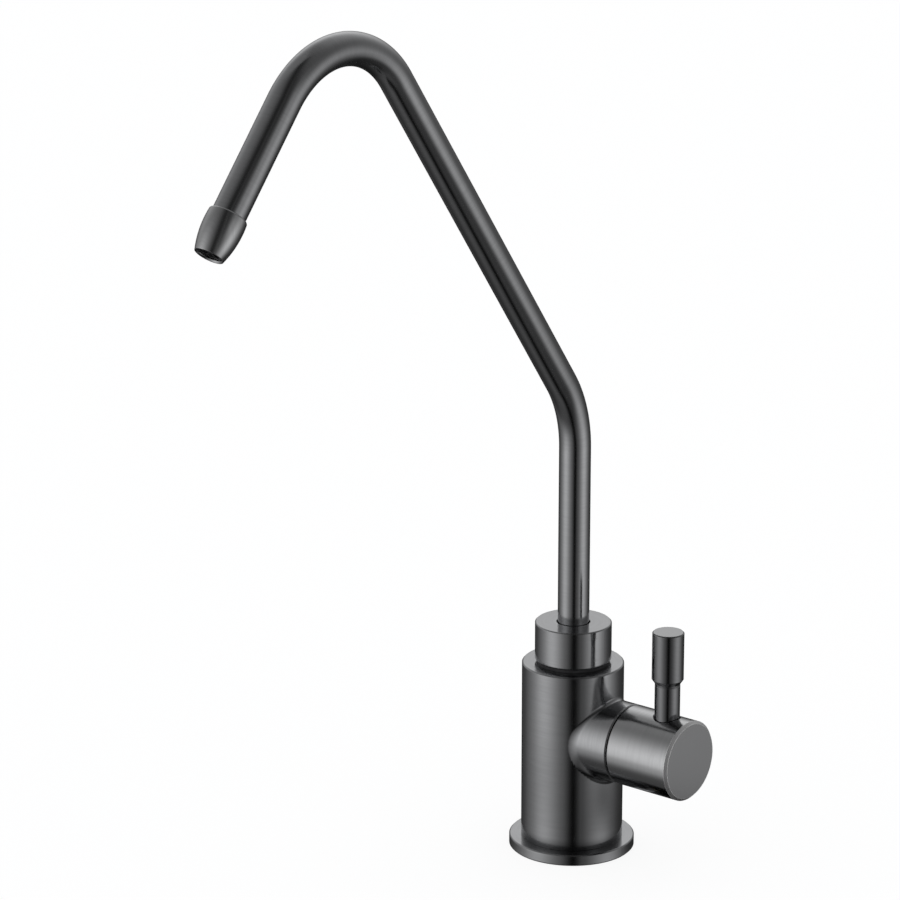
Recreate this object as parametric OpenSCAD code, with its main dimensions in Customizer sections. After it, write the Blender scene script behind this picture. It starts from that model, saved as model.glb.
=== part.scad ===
// Drinking water filter tap: one post with a swivelling bent spout and a quarter-turn side handle.
// The worktop's upper face is z = 0, the spout points along -Y and the side branch along +X. Sizes in mm.

/* [Base and body] */
// Diameter of the round base flange
flange_d = 40; // [36:0.5:60]
// Thickness of the base flange
flange_h = 3.6; // [3:0.1:8]
// Diameter of the upright body
body_d = 32.4; // [28:0.1:40]
// Height of the body's shoulder above the worktop
body_top = 62; // [60:0.5:90]

/* [Collar] */
// Diameter of the collar nut
collar_d = 24.3; // [23:0.1:30]
// Height of the collar nut
collar_h = 12.4; // [10:0.1:20]
// Height of the dark ring between body and collar
collar_gap = 0.9; // [0.6:0.1:3]

/* [Spout] */
// Outside diameter of the tube
tube_d = 10; // [8:0.5:11]
// Wall of the tube
tube_wall = 1; // [0.6:0.1:1.5]
// Height of the knee, where the riser and the leaning leg would meet
knee_z = 145.4; // [120:0.1:220]
// Lean of the rising leg from upright, in degrees
rise_lean = 36.1; // [20:0.1:45]
// Lean of the falling leg from upright, in degrees
fall_lean = 40.2; // [20:0.1:50]
// Reach of the point where the two legs would meet
peak_reach = 109.6; // [95:0.1:150]
// Length from that point to the nozzle's mouth
fall_l = 89; // [75:0.1:120]
// Bend radius of the knee
knee_r = 39; // [20:1:60]
// Bend radius of the top
top_r = 31; // [20:0.1:38]

/* [Nozzle] */
// Length of the nozzle
nozzle_l = 13; // [11:0.5:20]
// Step of the nozzle's barrel outside the tube
nozzle_step = 0.92; // [0.6:0.02:2]
// Diameter of the mouth's rim
mouth_d = 8.8; // [8.6:0.1:9.6]

/* [Branch and handle] */
// Height of the branch's axis
branch_z = 39.2; // [36:0.1:40]
// Diameter of the branch and the handle drum
drum_d = 25.7; // [24:0.1:27]
// Reach of the branch's end face
branch_x = 22.6; // [21:0.1:28]
// Visible joint between branch and drum
seam = 0.4; // [0.3:0.05:0.8]
// Length of the handle drum
drum_l = 23.2; // [21:0.1:30]
// Width of the blend over the branch, from the corner that it rounds
blend_top = 1.3; // [1:0.1:2]
// Width of the blend under the branch
blend_under = 2.2; // [1:0.1:3]
// Width of the blend at the branch's front and back
blend_side = 3; // [2:0.1:6.5]
// Reach of the lever from the drum's outer face
lever_in = 9.1; // [8:0.1:11]
// Diameter of the lever's rod
rod_d = 8; // [6.5:0.1:9]
// Diameter of the lever's grip
grip_d = 10; // [9.4:0.1:14]
// Length of the bare rod above the drum
rod_l = 11.15; // [8:0.05:30]
// Length of the grip
grip_l = 16.8; // [10:0.1:60]

/* [Shank and fixing] */
// Diameter of the locating spigot under the flange
spigot_d = 12.4; // [12.3:0.1:13]
// Diameter of the shank's main thread
thread_d = 12; // [11.8:0.1:12.2]
// Diameter of the tail thread for the supply connector
tail_d = 11.112; // [10:0.001:11.6]
// Length of the tail thread
tail_l = 15; // [12:1:25]
// Length of the shank below the worktop's upper face
shank_l = 60; // [58:1:90]
// Diameter of the socket for the supply tube
supply_d = 6.5; // [6:0.1:7]
// Thickness of the worktop that the fixing is set for
worktop = 30; // [10:1:34]

/* [Hidden] */
$fn = 96;

// Clearances
run = 0.05;
thread_gap = 0.1;
loose = 0.35;
ring_gap = 0.15;
press = 0.02;
over = 1;
break_edge = 0.35;

// Body and base
body_r = body_d / 2;
flange_r = flange_d / 2;
drum_r = drum_d / 2;
screw_r = 6.9;
screw_top = flange_h + 9.4;
shoulder_h = 1.5;
shoulder_r = 10.7;
flange_bore = 9;
seal_in = 14;
seal_out = 17.5;
seal_h = 1.5;
ring_h = 1.6;
well_r = 4;
water_r = 2.5;
body_break = 0.4;

// Spout joint
tube_r = tube_d / 2;
bush_r = tube_r + 2.4;
socket_r = bush_r + run;
neck_r = socket_r + 1.55;
roof_h = 2;
slide_h = 0.8;
bush_flange_h = 1.6;
collar_z = body_top + collar_gap;
collar_top = collar_z + collar_h;
roof_z = collar_top - roof_h;
bush_top = roof_z - slide_h;
bush_seat = bush_top - bush_flange_h;
neck_top = bush_seat - slide_h;
collar_r = collar_d / 2;
collar_low = 0.5;
collar_bore = neck_r + thread_gap;

// Cartridge, all lengths from the branch's end face
bore_r = drum_r - 5;
thread_r = bore_r - thread_gap;
bore_deep = 20.8;
seat_x = branch_x - bore_deep;
inlet_r = 3.2;
inlet_x = seat_x - 6.6;
riser_r = 2.2;
port_x = seat_x + 2.8;
port_r = 2.2;
socket_z = branch_z + bore_r + 2.5;
gasket_h = 0.8;
hex_h = 3.5;
skirt_r = drum_r - 1.5;
hex_corner = skirt_r - 0.5;
hex_flat = hex_corner * cos(30);
hex_end = gasket_h + hex_h;
neck_end = hex_end + 3.9;
cart_neck_r = 5.6;
cart_tail = -19.3;
cart_slim_r = bore_r - 0.7;
thread_start = -8;
chamber_r = bore_r - 1.5;
chamber_end = -9;
disc_r = chamber_r - ring_gap;
seal_end = -17.8;
fixed_end = -14.8;
moving_end = -12;
drive_end = chamber_end - 0.8;
lug_w = 2.4;
slot_w = lug_w + 0.2;
stem_r = 3.5;
stem_bore = stem_r + 0.1;
stem_groove = 2.4;
stem_ring_at = [-6, -3];
stem_ring_w = 1.3;
clip_at = neck_end + 0.3;
clip_h = 0.8;
clip_gap = 4;
spline_start = neck_end + 1.8;
spline_end = spline_start + 9;
spline_n = 20;
spline_deep = 0.35;
spline_r = stem_r - 0.1;
drive_w = 2 * stem_r + 1;
tongue_w = 3.9;
tongue_h = 1.1;

// Handle
drum_x = branch_x + seam;
drum_end = drum_x + drum_l;
skirt_end = branch_x + spline_start;
lever_x = drum_end - lever_in;
rod_r = rod_d / 2;
grip_r = grip_d / 2;
rod_foot = branch_z + drum_r - 1.7;
rod_top = branch_z + drum_r + rod_l;
lever_top = rod_top + grip_l;
grip_cone = 1.4;
stud_r = 2.45;
stud_end = branch_z + stem_r + 2.1;
grub_r = 2;
grub_top = branch_z - spline_r - ring_gap;
grub_l = 5;
face_break = 0.8;

// Spout path, in a plane with u outward and z up
bush_z = socket_z + 0.6;
tube_foot = bush_z + 3;
knee_cut = knee_r * tan(rise_lean / 2);
top_turn = 180 - rise_lean - fall_lean;
top_cut = top_r * tan(top_turn / 2);
peak_z = knee_z + peak_reach / tan(rise_lean);
leg_l = peak_reach / sin(rise_lean) - knee_cut - top_cut;
bore_tube = tube_r - tube_wall;
lap = 0.3;
slim = 0.04;
nozzle_r = tube_r + nozzle_step;
mouth_r = mouth_d / 2;
belly = 3.5;
belly_drop = nozzle_r - mouth_r;
belly_r = (pow(nozzle_l - belly, 2) + pow(belly_drop, 2)) / (2 * belly_drop);
cup = 6;
lip = 1;
lip_r = mouth_r - 0.65;
mouth_cut = 0.45;
flow_r = mouth_r - 0.5;
fall_end = fall_l - nozzle_l + cup;

// Fixing under the worktop
spigot_r = spigot_d / 2;
main_r = thread_d / 2;
tail_r = tail_d / 2;
supply_r = supply_d / 2;
supply_deep = tail_l + 3;
deck_gasket_h = 2;
deck_washer_h = 1.5;
lock_h = 1.5;
nut_h = 6;
stack_h = deck_gasket_h + deck_washer_h + lock_h;
spigot_l = stack_h + 1;
nut_bore = main_r + run;
nut_flat = 18;
washer_bore = spigot_r + 0.2;
gasket_rim = 8;
washer_rim = 7;

// A washer or ring, standing on z0
module ring(outer, inner, z0, h) {
    translate([0, 0, z0]) difference() {
        cylinder(r = outer, h = h);
        translate([0, 0, -over]) cylinder(r = inner, h = h + 2 * over);
    }
}

// A round seal of the given cord about the z axis
module o_ring(mid, cord, z) {
    translate([0, 0, z]) rotate_extrude() translate([mid, 0]) circle(r = cord / 2, $fn = 32);
}

// A turned bar with broken edges at its two ends
module turned(r, z0, h, low, high) {
    rotate_extrude() polygon([[0, z0], [r - low, z0], [r, z0 + low], [r, z0 + h - high], [r - high, z0 + h],
        [0, z0 + h]]);
}

// Stands the children's z axis along the branch, with z = 0 on the branch's end face
module along_branch() {
    translate([branch_x, 0, branch_z]) rotate([0, 90, 0]) children();
}

// The blend between body and branch. A ball rolls around their crossing and grows towards the front and back,
// where they meet at a blunter angle: the blend is tight over the branch and wide along its sides
blend_n = 72;
blend_steps = 8;
sink = 0.03;
root = 1;
side_power = 12;
function unit(v) = v / norm(v);
function corner(p) = acos(drum_r * pow(sin(p), 2) / body_r);
function ease(t) = let (s = min(max(t, 0), 1)) s * s * (3 - 2 * s);
function from_top(p) = p > 180 ? 360 - p : p;
function blend_w(p) = let (edge = blend_top + (blend_under - blend_top) * ease((from_top(p) - 60) / 60))
    edge + (blend_side - edge) * pow(sin(p), side_power);
function ball_r(p) = blend_w(p) / tan(corner(p) / 2);
function ball(p) = let (q = drum_r + ball_r(p) - sink, y = q * sin(p))
    [sqrt(pow(body_r + ball_r(p) - sink, 2) - y * y), y, branch_z + q * cos(p)];
function to_body(p) = let (c = ball(p)) unit([-c.x, -c.y, 0]);
function to_branch(p) = [0, -sin(p), -cos(p)];
function sweep(a, b, t) = let (w = acos(a * b)) (a * sin((1 - t) * w) + b * sin(t * w)) / sin(w);
function deep(p) = ball_r(p) / cos(corner(p) / 2) + root;
function section(p) = let (c = ball(p), a = to_body(p), b = to_branch(p), r = ball_r(p), deep = deep(p))
    concat([for (i = [0:blend_steps]) c + r * sweep(a, b, i / blend_steps)],
    [c + deep * b, c + deep * unit(a + b), c + deep * a]);
section_n = blend_steps + 4;
function spot(i, j) = (i % blend_n) * section_n + j % section_n;

module blend() {
    polyhedron(
        points = [for (i = [0:blend_n - 1]) each section(360 * i / blend_n)],
        faces = [for (i = [0:blend_n - 1], j = [0:section_n - 1], k = [0, 1])
            k == 0 ? [spot(i, j), spot(i + 1, j), spot(i + 1, j + 1)] : [spot(i, j), spot(i + 1, j + 1), spot(i, j + 1)]]);
}

module valve_body() color("DimGray") {
    difference() {
        union() {
            turned(body_r, flange_h, body_top - flange_h, 0, body_break);
            translate([0, 0, body_top - over]) cylinder(r = neck_r, h = neck_top - body_top + over);
            along_branch() turned(drum_r, -branch_x, branch_x, 0, break_edge);
            blend();
        }
        translate([0, 0, socket_z]) cylinder(r = socket_r, h = neck_top - socket_z + over);
        along_branch() translate([0, 0, -bore_deep]) cylinder(r = bore_r, h = bore_deep + over);
        along_branch() translate([0, 0, inlet_x - riser_r - branch_x])
            cylinder(r = inlet_r, h = branch_x - inlet_x + riser_r - bore_deep + over);
        translate([0, 0, flange_h - over]) cylinder(r = screw_r + thread_gap, h = screw_top + ring_h - flange_h + over);
        translate([0, 0, screw_top]) cylinder(r = well_r, h = ring_h + 4.4);
        translate([inlet_x, 0, screw_top + ring_h + 2]) cylinder(r = riser_r, h = branch_z - screw_top - ring_h - 2);
        translate([port_x, 0, branch_z + bore_r - over]) cylinder(r = port_r, h = socket_z - branch_z - bore_r + 2 * over);
    }
}

module base_flange() color("DimGray") {
    difference() {
        turned(flange_r, 0, flange_h, break_edge, break_edge);
        translate([0, 0, -over]) cylinder(r = flange_bore, h = flange_h + 2 * over);
        translate([0, 0, -over]) cylinder(r = shoulder_r + 0.3, h = shoulder_h + over);
        ring(seal_out, seal_in, -over, seal_h + over);
    }
}

module base_seal() color("Black") {
    ring(seal_out - ring_gap, seal_in + ring_gap, 0, seal_h);
}

module shank() color("Goldenrod") {
    difference() {
        union() {
            translate([0, 0, -shank_l]) cylinder(r = tail_r, h = tail_l);
            translate([0, 0, tail_l - shank_l]) cylinder(r = main_r, h = shank_l - tail_l - spigot_l);
            translate([0, 0, -spigot_l]) cylinder(r = spigot_r, h = spigot_l);
            cylinder(r = shoulder_r, h = shoulder_h);
            translate([0, 0, shoulder_h]) cylinder(r = screw_r, h = screw_top - shoulder_h);
        }
        translate([0, 0, -shank_l - over]) cylinder(r = supply_r, h = supply_deep + over);
        translate([0, 0, -shank_l]) cylinder(r = water_r, h = shank_l + screw_top + over);
    }
}

module shank_o_ring() color("Black") {
    ring(screw_r - ring_gap, well_r + ring_gap, screw_top, ring_h);
}

module collar_nut() color("DimGray") {
    difference() {
        turned(collar_r, collar_z, collar_h, collar_low, break_edge);
        translate([0, 0, collar_z - over]) cylinder(r = collar_bore, h = roof_z - collar_z + over);
        cylinder(r = tube_r + loose, h = collar_top + over);
    }
}

module collar_ring() color("Black") {
    ring(collar_r - 0.55, neck_r + ring_gap, body_top, collar_gap);
}

module lower_slide_washer() color("White") {
    ring(neck_r, socket_r, neck_top, slide_h);
}

module upper_slide_washer() color("White") {
    ring(neck_r, tube_r + loose, bush_top, slide_h);
}

// The housing of the ceramic cartridge: hexagon, neck, thread, and a slim cage around the discs
module cartridge_housing() color("Goldenrod") along_branch() {
    difference() {
        union() {
            translate([0, 0, cart_tail]) cylinder(r = cart_slim_r, h = thread_start - cart_tail);
            translate([0, 0, thread_start]) cylinder(r = thread_r, h = gasket_h - thread_start);
            translate([0, 0, gasket_h]) cylinder(r = hex_corner, h = hex_h, $fn = 6);
            translate([0, 0, hex_end]) cylinder(r = cart_neck_r, h = neck_end - hex_end);
        }
        translate([0, 0, cart_tail - over]) cylinder(r = chamber_r, h = chamber_end - cart_tail + over);
        translate([0, 0, chamber_end - over]) cylinder(r = stem_bore, h = neck_end - chamber_end + 2 * over);
        translate([-bore_r, -slot_w / 2, cart_tail - over]) cube([2 * bore_r, slot_w, fixed_end - cart_tail + over]);
        translate([-bore_r, -2.6, moving_end + 0.2]) cube([2 * bore_r, 5.2, chamber_end - moving_end - 0.6]);
    }
}

module cartridge_gasket() color("Firebrick") along_branch() {
    ring(hex_flat, bore_r + ring_gap, 0, gasket_h);
}

module seat_seal() color("Black") along_branch() {
    ring(disc_r, inlet_r + ring_gap, -bore_deep, bore_deep + seal_end);
}

// One of two water ports through a disc
module port(turn) {
    rotate([0, 0, turn]) linear_extrude(8) intersection() {
        difference() {
            circle(r = disc_r - 0.9);
            circle(r = 1.7);
        }
        polygon([[0, 0], [disc_r, -0.68 * disc_r], [disc_r, 0.68 * disc_r]]);
    }
}

module fixed_disc() color("White") along_branch() {
    difference() {
        union() {
            translate([0, 0, seal_end]) cylinder(r = disc_r, h = fixed_end - seal_end);
            translate([-cart_slim_r + 0.1, -lug_w / 2, seal_end])
                cube([2 * cart_slim_r - 0.2, lug_w, fixed_end - seal_end]);
        }
        translate([0, 0, seal_end - over]) port(90);
        translate([0, 0, seal_end - over]) port(270);
    }
}

module moving_disc() color("White") along_branch() {
    difference() {
        translate([0, 0, fixed_end]) cylinder(r = disc_r, h = moving_end - fixed_end);
        translate([0, 0, fixed_end - over]) port(0);
        translate([0, 0, fixed_end - over]) port(180);
        translate([-tongue_w / 2 - run, -disc_r - over, moving_end - tongue_h - run])
            cube([tongue_w + 2 * run, 2 * disc_r + 2 * over, tongue_h + run + over]);
    }
}

module thrust_washer() color("White") along_branch() {
    ring(disc_r, stem_bore + ring_gap, drive_end, chamber_end - drive_end);
}

function tooth(i, r) = let (s = 360 / spline_n) [
    for (k = [[0.08, r], [0.42, r], [0.58, r - spline_deep], [0.92, r - spline_deep]])
        [k[1] * cos(s * (i + k[0])), k[1] * sin(s * (i + k[0]))]];

module spline(r, z0, h) {
    translate([0, 0, z0]) linear_extrude(h) polygon([for (i = [0:spline_n - 1]) each tooth(i, r)]);
}

// The spindle: drive bar and tongue at its inner end, seal and clip grooves, splined outer end
module spindle() color("Goldenrod") along_branch() {
    difference() {
        union() {
            intersection() {
                translate([0, 0, moving_end]) cylinder(r = disc_r, h = drive_end - moving_end);
                translate([-drive_w / 2, -disc_r - over, moving_end - over])
                    cube([drive_w, 2 * disc_r + 2 * over, drive_end - moving_end + 2 * over]);
            }
            intersection() {
                translate([0, 0, moving_end - tongue_h]) cylinder(r = disc_r - 0.3, h = tongue_h + 0.5);
                translate([-tongue_w / 2, -disc_r, moving_end - tongue_h - over])
                    cube([tongue_w, 2 * disc_r, tongue_h + 0.5 + 2 * over]);
            }
            translate([0, 0, drive_end - 0.6]) cylinder(r = stem_r, h = spline_start - drive_end + 0.6);
            spline(spline_r, spline_start - 0.4, spline_end - spline_start + 0.4);
        }
        for (t = stem_ring_at) ring(stem_r + over, stem_groove, t, stem_ring_w);
        ring(stem_r + over, stem_groove + 0.3, clip_at, clip_h);
    }
}

module spindle_o_rings() color("Black") along_branch() {
    for (t = stem_ring_at) o_ring((stem_groove + stem_bore) / 2, stem_bore - stem_groove - 0.1, t + stem_ring_w / 2);
}

module spindle_clip() color("Silver") along_branch() {
    difference() {
        ring(cart_neck_r - 0.4, stem_groove + 0.3 + run, clip_at + run, clip_h - 2 * run);
        translate([0, -clip_gap / 2, clip_at - over]) cube([cart_neck_r, clip_gap, clip_h + 2 * over]);
    }
}

module handle_drum() color("DimGray") {
    difference() {
        along_branch() turned(drum_r, seam, drum_l, break_edge, face_break);
        along_branch() cylinder(r = skirt_r, h = skirt_end - branch_x);
        along_branch() spline(spline_r + 0.08, spline_start - over, spline_end - spline_start + over + 0.4);
        translate([lever_x, 0, rod_foot]) cylinder(r = rod_r + loose, h = drum_r);
        translate([lever_x, 0, stud_end - 0.4]) cylinder(r = stud_r + run, h = drum_r);
        translate([lever_x, 0, branch_z - drum_r - over]) cylinder(r = grub_r + run, h = drum_r + over);
    }
}

module lever() color("DimGray") {
    translate([lever_x, 0, 0]) rotate_extrude() polygon([
        [0, stud_end], [stud_r, stud_end], [stud_r, rod_foot], [rod_r, rod_foot], [rod_r, rod_top - 0.7],
        [rod_r - 0.15, rod_top - 0.6], [rod_r - 0.15, rod_top - 0.4], [rod_r, rod_top - 0.3], [rod_r, rod_top],
        [grip_r, rod_top + grip_cone], [grip_r, lever_top - break_edge], [grip_r - break_edge, lever_top],
        [0, lever_top]]);
}

module grub_screw() color("Silver") {
    translate([lever_x, 0, grub_top - grub_l]) difference() {
        cylinder(r = grub_r, h = grub_l);
        translate([0, 0, -over]) cylinder(d = 2 / cos(30), h = 2.2 + over, $fn = 6);
    }
}

// A bend of a bar of radius r, starting upward at the origin and turning outward
module bend(r, bend_r, turn) {
    translate([bend_r, 0, 0]) rotate([90, 0, 0]) rotate([0, 0, 180 - turn])
        rotate_extrude(angle = turn) translate([bend_r, 0]) circle(r = r - slim);
}

// A bar of radius r bent along the spout: riser, knee, leaning leg, top bend and falling leg
module bent(r, foot, tip) {
    translate([0, 0, foot]) cylinder(r = r, h = knee_z - knee_cut - foot + lap);
    translate([0, 0, knee_z - knee_cut]) bend(r, knee_r, rise_lean);
    translate([0, 0, knee_z]) rotate([0, rise_lean, 0]) {
        translate([0, 0, knee_cut - lap]) cylinder(r = r, h = leg_l + 2 * lap);
        translate([0, 0, knee_cut + leg_l]) bend(r, top_r, top_turn);
    }
    on_fall(top_cut - lap) cylinder(r = r, h = tip - top_cut + lap);
}

// Stands the children's z axis along the falling leg, at the given length from where the legs would meet
module on_fall(s) {
    translate([peak_reach, 0, peak_z]) rotate([0, 180 - fall_lean, 0]) translate([0, 0, s]) children();
}

// Turns the spout's plane to the front
module to_front() {
    rotate([0, 0, -90]) children();
}

module spout_tube() color("DimGray") to_front() {
    difference() {
        bent(tube_r, tube_foot, fall_end);
        bent(bore_tube, tube_foot - over, fall_end + over);
    }
}

module spout_bush() color("Goldenrod") {
    difference() {
        union() {
            translate([0, 0, bush_z]) cylinder(r = bush_r, h = bush_seat - bush_z);
            translate([0, 0, bush_seat]) cylinder(r = neck_r - 0.3, h = bush_flange_h);
        }
        translate([0, 0, bush_z - over]) cylinder(r = bore_tube, h = 3 + 2 * over);
        translate([0, 0, tube_foot]) cylinder(r = tube_r + press, h = bush_top - tube_foot + over);
        for (z = [bush_z + 4, bush_z + 9]) ring(bush_r + over, bush_r - 1.5, z, 2);
    }
}

module spout_o_rings() color("Black") {
    for (z = [bush_z + 4, bush_z + 9]) o_ring(bush_r - 0.74, 1.48, z + 1);
}

module nozzle() color("DimGray") to_front() on_fall(fall_l - nozzle_l) {
    difference() {
        rotate_extrude() intersection() {
            translate([nozzle_r - belly_r, belly]) circle(r = belly_r, $fn = 256);
            polygon([[0, 0], [nozzle_r - 0.55, 0], [nozzle_r - 0.35, 0.12], [nozzle_r - 0.15, 0.45],
                [nozzle_r + over, over], [nozzle_r + over, nozzle_l], [0, nozzle_l]]);
        }
        translate([0, 0, -over]) cylinder(r = tube_r + press, h = cup + over);
        translate([0, 0, cup - over]) cylinder(r = flow_r, h = nozzle_l - lip - cup + over);
        translate([0, 0, cup]) cylinder(r = lip_r, h = nozzle_l);
        translate([0, 0, nozzle_l - mouth_cut])
            cylinder(r1 = lip_r, r2 = lip_r + mouth_cut + over, h = mouth_cut + over);
    }
}

module flow_straightener() color("Black") to_front() on_fall(fall_l - nozzle_l) {
    vane_z = cup + 0.4;
    vane_h = nozzle_l - lip - vane_z;
    ring(flow_r - run, flow_r - 0.6, vane_z, vane_h);
    for (a = [0, 60, 120]) rotate([0, 0, a]) translate([-flow_r + 0.4, -0.25, vane_z])
        cube([2 * flow_r - 0.8, 0.5, vane_h]);
}

module deck_gasket() color("Black") {
    ring(spigot_r + gasket_rim, washer_bore, -worktop - deck_gasket_h, deck_gasket_h);
}

module deck_washer() color("Silver") {
    ring(spigot_r + washer_rim, washer_bore, -worktop - deck_gasket_h - deck_washer_h, deck_washer_h);
}

// A lock washer with teeth around its rim
module lock_washer() color("Silver") {
    translate([0, 0, -worktop - stack_h]) difference() {
        cylinder(r = spigot_r + 3.6, h = lock_h);
        translate([0, 0, -over]) cylinder(r = washer_bore, h = lock_h + 2 * over);
        for (a = [0:30:359]) rotate([0, 0, a]) translate([spigot_r + 2.2, -0.6, -over])
            cube([3, 1.2, lock_h + 2 * over]);
    }
}

module fixing_nut() color("Goldenrod") {
    translate([0, 0, -worktop - stack_h - nut_h]) difference() {
        cylinder(d = nut_flat / cos(30), h = nut_h, $fn = 6);
        translate([0, 0, -over]) cylinder(r = nut_bore, h = nut_h + 2 * over);
    }
}

valve_body();
base_flange();
base_seal();
shank();
shank_o_ring();
collar_nut();
collar_ring();
lower_slide_washer();
upper_slide_washer();
cartridge_housing();
cartridge_gasket();
seat_seal();
fixed_disc();
thrust_washer();
spindle();
spindle_o_rings();
moving_disc();
spindle_clip();
handle_drum();
lever();
grub_screw();
spout_tube();
spout_bush();
spout_o_rings();
nozzle();
flow_straightener();
deck_gasket();
deck_washer();
lock_washer();
fixing_nut();
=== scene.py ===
"""Drinking water filter tap in a satin gunmetal finish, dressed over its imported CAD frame."""
import math

import bpy
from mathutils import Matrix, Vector


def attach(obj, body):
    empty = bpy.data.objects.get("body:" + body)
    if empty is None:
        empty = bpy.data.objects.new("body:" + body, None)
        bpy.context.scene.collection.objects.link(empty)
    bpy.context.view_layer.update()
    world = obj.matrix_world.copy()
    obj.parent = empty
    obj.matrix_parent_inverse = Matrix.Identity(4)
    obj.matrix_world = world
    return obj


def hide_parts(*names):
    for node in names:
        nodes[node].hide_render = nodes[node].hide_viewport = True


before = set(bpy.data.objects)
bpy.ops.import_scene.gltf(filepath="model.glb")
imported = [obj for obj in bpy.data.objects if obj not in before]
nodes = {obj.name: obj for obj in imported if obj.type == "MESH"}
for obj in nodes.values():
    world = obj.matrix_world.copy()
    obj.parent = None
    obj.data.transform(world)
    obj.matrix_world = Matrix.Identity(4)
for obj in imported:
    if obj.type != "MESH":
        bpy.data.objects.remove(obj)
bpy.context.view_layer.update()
scene = bpy.context.scene
MM = 0.001

# Camera: where the photograph was taken from
IMAGE_PX = 900
FOCAL_PX = 4171.0
SENSOR = 36.0
CAMERA_AT = (0.75478, -0.98888, 0.51555)
AZIMUTH = 39.15
PITCH = 17.15
NEAR = 0.05
FAR = 20.0
camera_data = bpy.data.cameras.new("camera")
camera_data.sensor_width = SENSOR
camera_data.lens = FOCAL_PX / IMAGE_PX * SENSOR
camera_data.clip_start = NEAR
camera_data.clip_end = FAR
camera = bpy.data.objects.new("camera", camera_data)
camera.location = CAMERA_AT
camera.rotation_euler = (math.radians(90 - PITCH), 0, math.radians(AZIMUTH))
scene.collection.objects.link(camera)
scene.camera = camera
scene.view_settings.view_transform = "Standard"

# Sizes of the tap, as in the part's source
TUBE_R = 5 * MM
TUBE_WALL = 1 * MM
TUBE_FOOT = 53.15 * MM
KNEE_Z = 145.4 * MM
KNEE_R = 39 * MM
RISE_LEAN = math.radians(36.1)
FALL_LEAN = math.radians(40.2)
PEAK_REACH = 109.6 * MM
PEAK_Z = KNEE_Z + PEAK_REACH / math.tan(RISE_LEAN)
TOP_R = 31 * MM
FALL_L = 89 * MM
NOZZLE_L = 13 * MM
NOZZLE_CUP = 6 * MM
BODY_R = 16.2 * MM
BRANCH_Z = 39.2 * MM
BRANCH_R = 12.85 * MM
DRUM_END = 46.2 * MM
FACE_BREAK = 0.8 * MM
FLANGE_R = 20 * MM
FLANGE_H = 3.6 * MM
WORKTOP = 30 * MM
STACK_H = 5 * MM
NUT_H = 6 * MM
NUT_FLAT = 18 * MM
MAIN_R = 6 * MM
MAIN_PITCH = 1.5 * MM
MAIN_LOW = -45 * MM
SPIGOT_R = 6.2 * MM
SPIGOT_L = 6 * MM
TAIL_R = 5.556 * MM
TAIL_PITCH = 25.4 / 24 * MM
SHANK_L = 60 * MM
SUPPLY_R = 3.25 * MM
SUPPLY_DEEP = 18 * MM
WATER_R = 2.5 * MM
SHOULDER_R = 10.7 * MM
SHOULDER_H = 1.5 * MM
SCREW_R = 6.9 * MM
SCREW_TOP = 13 * MM
LEVER_TOP = max(vertex.co.z for vertex in nodes["lever"].data.vertices)


# Small helpers for node trees
def add(tree, kind, settings=None, values=None):
    """One new node, with its settings and the values of its inputs."""
    made = tree.nodes.new(kind)
    for name, value in (settings or {}).items():
        setattr(made, name, value)
    for name, value in (values or {}).items():
        made.inputs[name].default_value = value
    return made


def join(tree, source, target):
    tree.links.new(source, target)


def maths(tree, operation, first, second=0.0, clamp=False):
    """One maths node, whose inputs are sockets or plain numbers."""
    made = add(tree, "ShaderNodeMath", {"operation": operation, "use_clamp": clamp})
    for place, value in enumerate((first, second)):
        if isinstance(value, (int, float)):
            made.inputs[place].default_value = value
        else:
            join(tree, value, made.inputs[place])
    return made.outputs[0]


def ranged(tree, source, low, high, to_low, to_high, soft=False):
    """The source carried from one range to another, held at both ends."""
    made = add(tree, "ShaderNodeMapRange", {"interpolation_type": "SMOOTHSTEP" if soft else "LINEAR"},
               {"From Min": low, "From Max": high, "To Min": to_low, "To Max": to_high})
    join(tree, source, made.inputs["Value"])
    return made.outputs["Result"]


def bell(tree, off):
    """A soft spot, from its squared distance: one in its middle, and falling away smoothly."""
    return maths(tree, "EXPONENT", maths(tree, "MULTIPLY", off, -1.0))


def split(tree, vector):
    """The X, Y and Z of a place."""
    made = add(tree, "ShaderNodeSeparateXYZ")
    join(tree, vector, made.inputs[0])
    return made.outputs


def blended(tree, share, first, second):
    """A colour between two, by a share that changes over the surface."""
    made = add(tree, "ShaderNodeMix", {"data_type": "RGBA"})
    join(tree, share, made.inputs[0])
    for place, value in ((6, first), (7, second)):
        if isinstance(value, tuple):
            made.inputs[place].default_value = (*value, 1)
        else:
            join(tree, value, made.inputs[place])
    return made.outputs[2]


def mixed(tree, share, first, second):
    """A mix of two shaders, by a share that is a socket or a plain number."""
    made = add(tree, "ShaderNodeMixShader")
    if isinstance(share, float):
        made.inputs["Fac"].default_value = share
    else:
        join(tree, share, made.inputs["Fac"])
    join(tree, first, made.inputs[1])
    join(tree, second, made.inputs[2])
    return made.outputs[0]


def glow(tree, colour, strength=1.0):
    return add(tree, "ShaderNodeEmission", None, {"Color": colour, "Strength": strength}).outputs[0]


def bare_material(name):
    """A material with nothing in its tree."""
    material = bpy.data.materials.new(name)
    material.use_nodes = True
    material.node_tree.nodes.clear()
    return material, material.node_tree


def surface(tree, shader):
    output = add(tree, "ShaderNodeOutputMaterial")
    join(tree, shader, output.inputs["Surface"])


# World: white where the camera and the metal look at it, and plain white light for the rest
WHITE = (1, 1, 1, 1)
BLACK = (0, 0, 0, 1)
FILL_LIGHT = (0.97, 0.98, 1, 1)


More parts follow.
